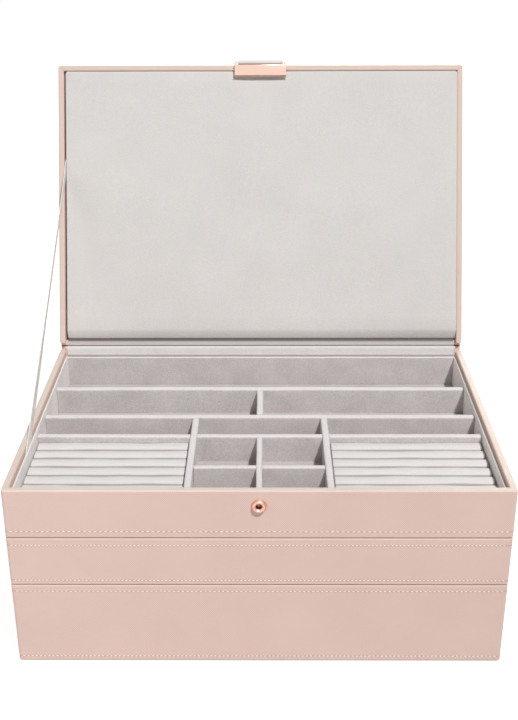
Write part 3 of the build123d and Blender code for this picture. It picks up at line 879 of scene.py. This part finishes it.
# thread stitches, one small grain each, sunk half into the leather; rows are height and pitch
stitchRows = {"upper": [(116.5, 3.78)], "middle": [(104.9, 2.86), (74.6, 2.9)],
              "bottom": [(64.9, 3.3), (5.7, 3.15)]}
stitch = {"share": 0.68, "wide": 0.9 * mm, "deep": 0.9 * mm, "fromCorner": 2.6 * mm, "tilt": 0.09,
          "tiltSpread": 0.05, "spreadRate": 400, "around": 6, "along": 4}
lidStitch = {"height": 166.5 * mm, "inset": 6.5 * mm, "pitch": 3.2 * mm}


def addStitches(whole, start, end, out, pitch):
    # a row of stitches on a flat side, "out" is the way the side faces
    b = bmesh.new()
    run = Vector(end) - Vector(start)
    count = int(run.length / pitch)
    run.normalize()
    up = Vector(out).cross(run)
    size = Matrix.Diagonal((pitch * stitch["share"] / 2, stitch["wide"] / 2, stitch["deep"] / 2, 1))
    for i in range(count):
        spot = Vector(start) + run * pitch * (i + 0.5)
        tilt = stitch["tilt"] + stitch["tiltSpread"] * noise.noise(spot * stitch["spreadRate"])
        lean = run * math.cos(tilt) + up * math.sin(tilt)
        frameOf = Matrix((lean, up, Vector(out))).transposed().to_4x4()
        bmesh.ops.create_uvsphere(b, u_segments=stitch["around"], v_segments=stitch["along"], radius=1,
                                  matrix=Matrix.Translation(spot) @ frameOf @ size)
    addTo(whole, b)


def makeStitches():
    halfX, front, back = case["width"] / 2, case["front"], case["back"]
    inset = stitch["fromCorner"]
    for tray, rows in stitchRows.items():
        b = bmesh.new()
        for level, pitch in rows:
            z, pitch = level * mm, pitch * mm
            addStitches(b, (-halfX + inset, front, z), (halfX - inset, front, z), (0, -1, 0), pitch)
            addStitches(b, (halfX - inset, back, z), (inset - halfX, back, z), (0, 1, 0), pitch)
            addStitches(b, (halfX, front + inset, z), (halfX, back - inset, z), (1, 0, 0), pitch)
            addStitches(b, (-halfX, back - inset, z), (-halfX, front + inset, z), (-1, 0, 0), pitch)
        newPiece(tray + "_tray_stitches", b, "thread", tray + "_tray", sharp=180)
    b = bmesh.new()
    inset, top = lidStitch["inset"], lidStitch["height"]
    left, right, front, back = inset - halfX, halfX - inset, front + inset, back - inset
    corners = [(left, front), (right, front), (right, back), (left, back)]
    for here, there in zip(corners, corners[1:] + corners[:1]):
        addStitches(b, (*here, top), (*there, top), (0, 0, 1), lidStitch["pitch"])
    newPiece("lid_stitches", b, "thread", "lid", turn=lidTurn, sharp=180)
    print("stitches done")


makeBoards()
makeLidPad()
makeRolls()
makeFloorPads()
makeHinge()
makeClasp()
makeStud()
makeRibbon()
makeStitches()


# a white floor that only the camera and reflections see as lit
stage = {"size": 6, "grey": (0.4, 0.4, 0.4, 1), "glow": 0.86}


def addStage():
    floor = bpy.data.meshes.new("floor")
    b = bmesh.new()
    bmesh.ops.create_grid(b, x_segments=1, y_segments=1, size=stage["size"])
    b.to_mesh(floor)
    b.free()
    ground = bpy.data.objects.new("floor", floor)
    bpy.context.scene.collection.objects.link(ground)
    f = Finish("floorPaint")
    plain = f.add("ShaderNodeBsdfDiffuse", {}, Color=stage["grey"])
    rays = f.add("ShaderNodeLightPath", {}).socket.node
    seen = Wire(f, rays.outputs["Is Camera Ray"]).atLeast(Wire(f, rays.outputs["Is Glossy Ray"]))
    glow = f.add("ShaderNodeEmission", {}, Color=(1, 1, 1, 1), Strength=seen * stage["glow"])
    both = f.add("ShaderNodeAddShader", {}, plain, glow)
    f.tree.links.new(both.socket, f.output.inputs["Surface"])
    floor.materials.append(f.material)


# lamps: the way they lie from the aim, how far, their size and their power
lights = {"sky": 0.24, "seen": 1, "aim": (0, 0, 0.14),
          "lamps": {"key": ((0.28, -0.50, 0.90), 6.0, 0.35, 333),
                    "fill": ((-0.66, -0.75, 0.16), 1.1, 0.7, 2.3),
                    "back": ((0.25, 0.95, 0.2), 3.0, 1.6, 42)}}


def addSky():
    # a dim sky for the light, a white one for what is seen
    world = bpy.data.worlds.new("studio")
    bpy.context.scene.world = world
    world.use_nodes = True
    tree = world.node_tree
    tree.nodes.clear()
    out = tree.nodes.new("ShaderNodeOutputWorld")
    mix = tree.nodes.new("ShaderNodeMixShader")
    rays = tree.nodes.new("ShaderNodeLightPath")
    seen = rays.outputs["Is Camera Ray"]
    for kind in ("Is Glossy Ray", "Is Transmission Ray"):
        most = tree.nodes.new("ShaderNodeMath")
        most.operation = "MAXIMUM"
        tree.links.new(seen, most.inputs[0])
        tree.links.new(rays.outputs[kind], most.inputs[1])
        seen = most.outputs[0]
    tree.links.new(seen, mix.inputs[0])
    for plug, strength in ((1, lights["sky"]), (2, lights["seen"])):
        sky = tree.nodes.new("ShaderNodeBackground")
        sky.inputs["Color"].default_value = (1, 1, 1, 1)
        sky.inputs["Strength"].default_value = strength
        tree.links.new(sky.outputs[0], mix.inputs[plug])
    tree.links.new(mix.outputs[0], out.inputs["Surface"])


def addLamps():
    aim = Vector(lights["aim"])
    for name, (way, far, size, power) in lights["lamps"].items():
        lamp = bpy.data.lights.new(name, "AREA")
        lamp.shape, lamp.size, lamp.energy = "DISK", size, power
        thing = bpy.data.objects.new(name, lamp)
        way = Vector(way).normalized()
        thing.location = aim + way * far
        thing.rotation_euler = (-way).to_track_quat("-Z", "Y").to_euler()
        bpy.context.scene.collection.objects.link(thing)


def addCamera():
    camera = bpy.data.objects.new("camera", bpy.data.cameras.new("camera"))
    camera.data.lens = view["lens"]
    camera.data.sensor_width = view["sensor"]
    yaw, pitch, tilt = (math.radians(view[k]) for k in ("yaw", "pitch", "roll"))
    camera.matrix_world = (Matrix.Translation(view["place"]) @ Matrix.Rotation(yaw, 4, "Z")
                           @ Matrix.Rotation(math.pi / 2 + pitch, 4, "X") @ Matrix.Rotation(tilt, 4, "Z"))
    bpy.context.scene.collection.objects.link(camera)
    bpy.context.scene.camera = camera


addStage()
addSky()
addLamps()
addCamera()
bpy.context.scene.view_settings.view_transform = "Standard"
print("stage done")
